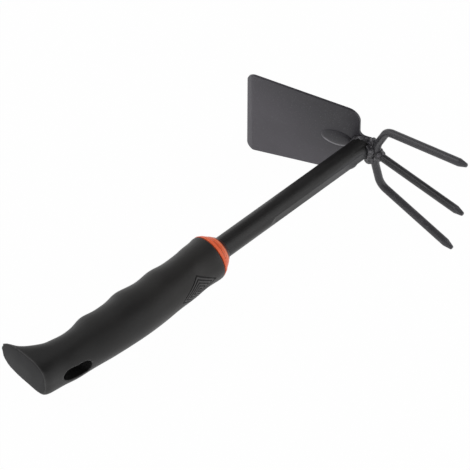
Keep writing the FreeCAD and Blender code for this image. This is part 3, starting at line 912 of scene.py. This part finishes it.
@dataclass
class Collar:
    """The orange collar where the tube enters the handle, with its shadow groove and step.

    Places along it are measured from its back, where the soft skin ends.
    """

    back: float = -154.786
    length: float = 12.4
    radius: float = 16.6
    groove: float = 0.8
    groove_depth: float = 1.2
    lip: float = 0.3
    lip_drop: float = 0.05
    step: float = 4.2
    step_radius: float = 15.2
    step_height: float = 0.5
    step_run: float = 0.9
    step_rise: float = 0.3
    step_edge: float = 0.25
    shoulder: float = 7.7
    shoulder_radius: float = 12.5
    shoulder_run: float = 0.8
    shoulder_rise: float = 0.45
    front_radius: float = 9.0
    front_edge: float = 0.4
    front_dish: float = 0.5
    tube_radius: float = 8.0
    core_radius: float = 12.0
    core_depth: float = 30.0
    turns: int = 128
    sharper: float = 14.0
    softness: float = 0.18
    soft_steps: int = 2
    # Painted shadow in the back groove and over the nose, a line of painted shade at the step and a
    # painted highlight on the shoulder.
    plastic: MouldedPlastic = MouldedPlastic(
        "orange_collar", (0.97, 0.140, 0.042), (1.0, 0.165, 0.055), 0.36,
        grain_depth=0.01,
        shaded_ends=((-153.9, -154.3), (-146.2, -145.2)),
        shade_lines=((-150.5, 0.45),),
        highlight_lines=((-147.1, 0.7),),
    )

    def profile(self) -> list[tuple[float, float]]:
        """Draws the outline, from the hidden core forwards.

        Returns:
            Places along the tube and out from it.
        """
        back, front = self.back, self.back + self.length
        lip, step, shoulder = back + self.groove, back + self.step, back + self.shoulder
        floor = self.radius - self.groove_depth
        return [
            (back - self.core_depth, self.tube_radius),
            (back - self.core_depth, self.core_radius),
            (back, self.core_radius),
            (back, floor),
            (lip, floor),
            (lip, self.radius - self.lip),
            (lip + self.lip, self.radius - self.lip_drop),
            (step - self.step_run, self.step_radius + self.step_rise),
            (step - self.step_edge, self.step_radius),
            (step, self.step_radius - self.step_height),
            (shoulder - self.shoulder_run, self.shoulder_radius + self.shoulder_rise),
            (shoulder, self.shoulder_radius),
            (front - self.front_edge, self.front_radius),
            (front, self.front_radius - self.front_edge),
            (front - self.front_dish, self.tube_radius),
        ]

    def build(self) -> None:
        """Turns the collar, softens its edges and sets it on the tube."""
        body = turned(self.profile(), self.turns)
        soften(body, self.sharper, self.softness, self.soft_steps)
        bmesh.ops.transform(body, matrix=TOOL_TO_ROW, verts=body.verts)
        mount(mesh_piece("collar", body, self.plastic.build()), "grip_core")


@dataclass
class Handle:
    """Soft cover, orange collar and butt cap."""

    cell: float = 0.62
    rounds: int = 1
    cap_stand: float = 0.12
    cap_flat: float = 1.0
    cap_sharper: float = 40.0
    cap_softness: float = 0.5
    cap_soft_steps: int = 3
    butt: float = -308.786
    flare: float = 0.052
    flare_run: float = 17.0
    flare_middle: float = 12.0
    hook_root: float = 8.0
    hook_tip: float = 34.0
    hook_drop: float = 1.6
    pattern: ThumbPattern = field(default_factory=ThumbPattern)
    collar: Collar = field(default_factory=Collar)
    skin: SoftSkin = SoftSkin()
    cap: MouldedPlastic = MouldedPlastic(
        "butt_plastic", (0.0115, 0.0115, 0.0125), (0.0150, 0.0150, 0.0162), 0.5, shine=0.22
    )

    def widen_butt(self, body: bmesh.types.BMesh) -> None:
        """Flares the handle's end a little towards its rim and turns the hook's tip down.

        Args:
            body: A mesh in the frame.
        """
        turn = TOOL_TO_ROW.to_3x3()
        for vert in body.verts:
            place = to_tool(vert.co)
            share = ease(-place.x, -self.butt - self.flare_run, -self.butt)
            wider = (place.y - self.flare_middle) * self.flare
            drop = self.hook_drop * ease(place.y, self.hook_root, self.hook_tip)
            vert.co += turn @ Vector((0.0, wider, -drop)) * (share * MM)

    def make_skin(self) -> None:
        """Covers the grip, ends the cover behind the collar and cuts its pattern."""
        body = remoulded(node_copy("grip_cover", "grip_core", "butt_cap"), self.cell, self.rounds)
        keep_largest(body)
        mark_highlit_corners(body)
        self.widen_butt(body)
        bmesh.ops.bisect_plane(
            body, geom=body.verts[:] + body.edges[:] + body.faces[:], dist=WELD_DISTANCE,
            plane_co=TOOL_TO_ROW @ Vector((self.collar.back * MM, 0.0, 0.0)),
            plane_no=TOOL_TO_ROW.to_3x3() @ Vector((1.0, 0.0, 0.0)), clear_outer=True,
        )
        rim = [edge for edge in body.edges if edge.is_boundary]
        bmesh.ops.holes_fill(body, edges=rim, sides=0)
        self.pattern.carve(body)
        mount(mesh_piece("grip_skin", body, self.skin.build()), "grip_cover")

    def make_cap(self) -> None:
        """Sets the butt cap in its recess, with soft edges."""
        body = node_copy("butt_cap")
        outwards = TOOL_TO_ROW.to_3x3() @ Vector((-self.cap_stand * MM, 0.0, 0.0))
        bmesh.ops.translate(body, vec=outwards, verts=body.verts)
        bmesh.ops.dissolve_limit(
            body, angle_limit=math.radians(self.cap_flat), verts=body.verts, edges=body.edges
        )
        self.widen_butt(body)
        soften(body, self.cap_sharper, self.cap_softness, self.cap_soft_steps)
        mount(mesh_piece("butt_face", body, self.cap.build()), "butt_cap")

    def build(self) -> None:
        """Makes the whole handle."""
        self.make_skin()
        self.collar.build()
        self.make_cap()


@dataclass
class Head:
    """Blade, tines and the welds that hold them."""

    cell: float = 0.4
    first_rounds: int = 1
    last_rounds: int = 2
    ripple: float = 0.55
    ripple_size: float = 0.45
    fine_ripple: float = 0.5
    fine_ripple_size: float = 2.3
    # The blade's coat carries painted shade and a painted highlight.
    blade: SteelCoat = SteelCoat(
        "blade_coat", (0.084, 0.078, 0.092), (0.102, 0.095, 0.111), 0.46, WornOrReflection.CUTTING_EDGE,
        streaks(0.25, 3.0, 1.0), painted_light=BladePaintedLight(),
    )
    tine: SteelCoat = SteelCoat(
        "outer_tine_coat", (0.036, 0.035, 0.040), (0.050, 0.048, 0.054), 0.38, WornOrReflection.POINTS,
        streaks(1.0, 9.0, 1.0),
    )
    # Painted shade: a darker copy of the outer tines' coat for the middle tine.
    middle: SteelCoat = SteelCoat(
        "middle_tine_shaded_coat", (0.020, 0.0195, 0.022), (0.029, 0.028, 0.031), 0.38, WornOrReflection.POINTS,
        streaks(1.0, 9.0, 1.0),
    )
    weld: WeldBead = WeldBead()

    def make_bead(self, name: str, node: str, finish: bpy.types.Material) -> None:
        """Makes one weld lumpy, as it cools from the torch.

        Args:
            name: The piece's name.
            node: The CAD weld that it replaces.
            finish: The beads' material.
        """
        body = remoulded(node_copy(node), self.cell, self.first_rounds)
        body.normal_update()
        for vert in body.verts:
            place = to_tool(vert.co) * self.ripple_size
            finer = noise.noise(place * self.fine_ripple_size)
            swell = noise.noise(place) + self.fine_ripple * finer
            vert.co += vert.normal * (swell * self.ripple * MM)
        relax(body, self.last_rounds)
        mount(mesh_piece(name, body, finish), node)

    def build(self) -> None:
        """Makes the welds and dresses the steel."""
        bead = self.weld.build()
        self.make_bead("tube_bead", "weld_tube", bead)
        self.make_bead("yoke_bead", "weld_yoke", bead)
        self.make_bead("middle_bead", "weld_middle_tine", bead)
        dress("blade", self.blade.build())
        dress("outer_tines", self.tine.build())
        dress("middle_tine", self.middle.build())


@dataclass
class Shaft:
    """The painted tube and the plug inside it."""

    # Its lower pressed flat carries a painted reflection.
    paint: SteelCoat = SteelCoat(
        "tube_paint", (0.0080, 0.0075, 0.0076), (0.0105, 0.0099, 0.0100), 0.36,
        WornOrReflection.FLAT_REFLECTION, streaks(9.0, 1.0, 1.0), 0.04, coat=0.05, peel_depth=0.015,
    )
    plug: MouldedPlastic = MouldedPlastic(
        "plug_plastic", (0.05, 0.05, 0.05), (0.06, 0.06, 0.06), 0.5
    )

    def build(self) -> None:
        """Dresses the tube and its plug."""
        dress("shaft_tube", self.paint.build())
        dress("tube_plug", self.plug.build())


@dataclass(frozen=True)
class Lamp:
    """A square soft lamp that faces the tool: its place and side in metres, its power in watts."""

    name: str
    place: Triple
    size: float
    power: float

    def build(self) -> None:
        """Hangs the lamp."""
        data = bpy.data.lights.new(self.name, "AREA")
        data.size, data.energy = self.size, self.power
        lamp = bpy.data.objects.new(self.name, data)
        lamp.location = self.place
        lamp.rotation_euler = (-Vector(self.place)).to_track_quat("-Z", "Y").to_euler()
        bpy.context.scene.collection.objects.link(lamp)


@dataclass
class Studio:
    """White floor, soft light and the photograph's viewpoint. Sizes are in metres."""

    camera_place: Triple = (-0.93723, -0.77246, 1.3017)
    camera_turn: tuple[float, float, float, float] = (0.865482, 0.325826, -0.188421, -0.330568)
    lens: float = 196.373
    sensor: float = 36.0
    nearest: float = 0.1
    farthest: float = 30.0
    floor_half: float = 6.0
    floor_tone: float = 0.88
    floor_glow: float = 0.985
    sky_fade: Levels = (0.62, 0.18)
    low_light: float = 1.0
    high_light: float = 0.18
    lamps: tuple[Lamp, ...] = (
        Lamp("key", (-0.5, 0.9, 1.3), 1.0, 8.0),
        Lamp("fill", (0.9, -0.9, 0.9), 1.2, 5.0),
    )

    def make_camera(self) -> None:
        """Stands the camera where the photograph was taken."""
        data = bpy.data.cameras.new("camera")
        data.lens, data.sensor_width = self.lens, self.sensor
        data.clip_start, data.clip_end = self.nearest, self.farthest
        camera = bpy.data.objects.new("camera", data)
        camera.rotation_mode = "QUATERNION"
        camera.location = self.camera_place
        camera.rotation_quaternion = Quaternion(self.camera_turn)
        bpy.context.scene.collection.objects.link(camera)
        bpy.context.scene.camera = camera

    def make_floor(self) -> None:
        """Lays a white floor that keeps only a faint shadow."""
        body = bmesh.new()
        bmesh.ops.create_grid(body, x_segments=1, y_segments=1, size=self.floor_half)
        kit = NodeKit(bpy.data.materials.new("studio_floor"))
        seen = kit.rays("Is Camera Ray", "Is Glossy Ray", "Is Transmission Ray")
        tone = (self.floor_tone, self.floor_tone, self.floor_tone, 1.0)
        paper = kit.node("ShaderNodeBsdfDiffuse", inputs={"Color": tone})
        glow = kit.node("ShaderNodeEmission", inputs={"Color": (1.0, 1.0, 1.0, 1.0)})
        mixed = kit.node(
            "ShaderNodeMixShader",
            inputs={0: seen * self.floor_glow, 1: paper.outputs[0], 2: glow.outputs[0]},
        )
        kit.node("ShaderNodeOutputMaterial", inputs={"Surface": mixed.outputs[0]})
        mesh_piece("floor", body, kit.owner)

    def make_world(self) -> None:
        """Lights the room white low down and dim overhead, and makes it white where it is seen."""
        kit = NodeKit(bpy.data.worlds.new("studio_room"))
        seen = kit.rays("Is Camera Ray", "Is Transmission Ray")
        way = kit.node("ShaderNodeTexCoord").outputs["Generated"]
        height = Shade(kit, kit.node("ShaderNodeSeparateXYZ", inputs={0: way}).outputs[2])
        lit = height.between(*self.sky_fade) * (self.low_light - self.high_light)
        room = kit.node("ShaderNodeBackground", inputs={"Color": lit + self.high_light})
        white = kit.node("ShaderNodeBackground", inputs={"Color": (1.0, 1.0, 1.0, 1.0)})
        mixed = kit.node(
            "ShaderNodeMixShader", inputs={0: seen, 1: room.outputs[0], 2: white.outputs[0]}
        )
        kit.node("ShaderNodeOutputWorld", inputs={"Surface": mixed.outputs[0]})
        bpy.context.scene.world = kit.owner

    def build(self) -> None:
        """Sets up the whole studio."""
        bpy.context.scene.view_settings.view_transform = "Standard"
        self.make_camera()
        self.make_floor()
        self.make_world()
        for lamp in self.lamps:
            lamp.build()


def main() -> None:
    """Builds the studio and the tool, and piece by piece."""
    logging.basicConfig(level=logging.INFO, format="%(name)s: %(message)s")
    for assembly in (Studio(), Shaft(), Head(), Handle()):
        LOG.info("building %s", type(assembly).__name__)
        assembly.build()


if __name__ == "__main__":
    main()
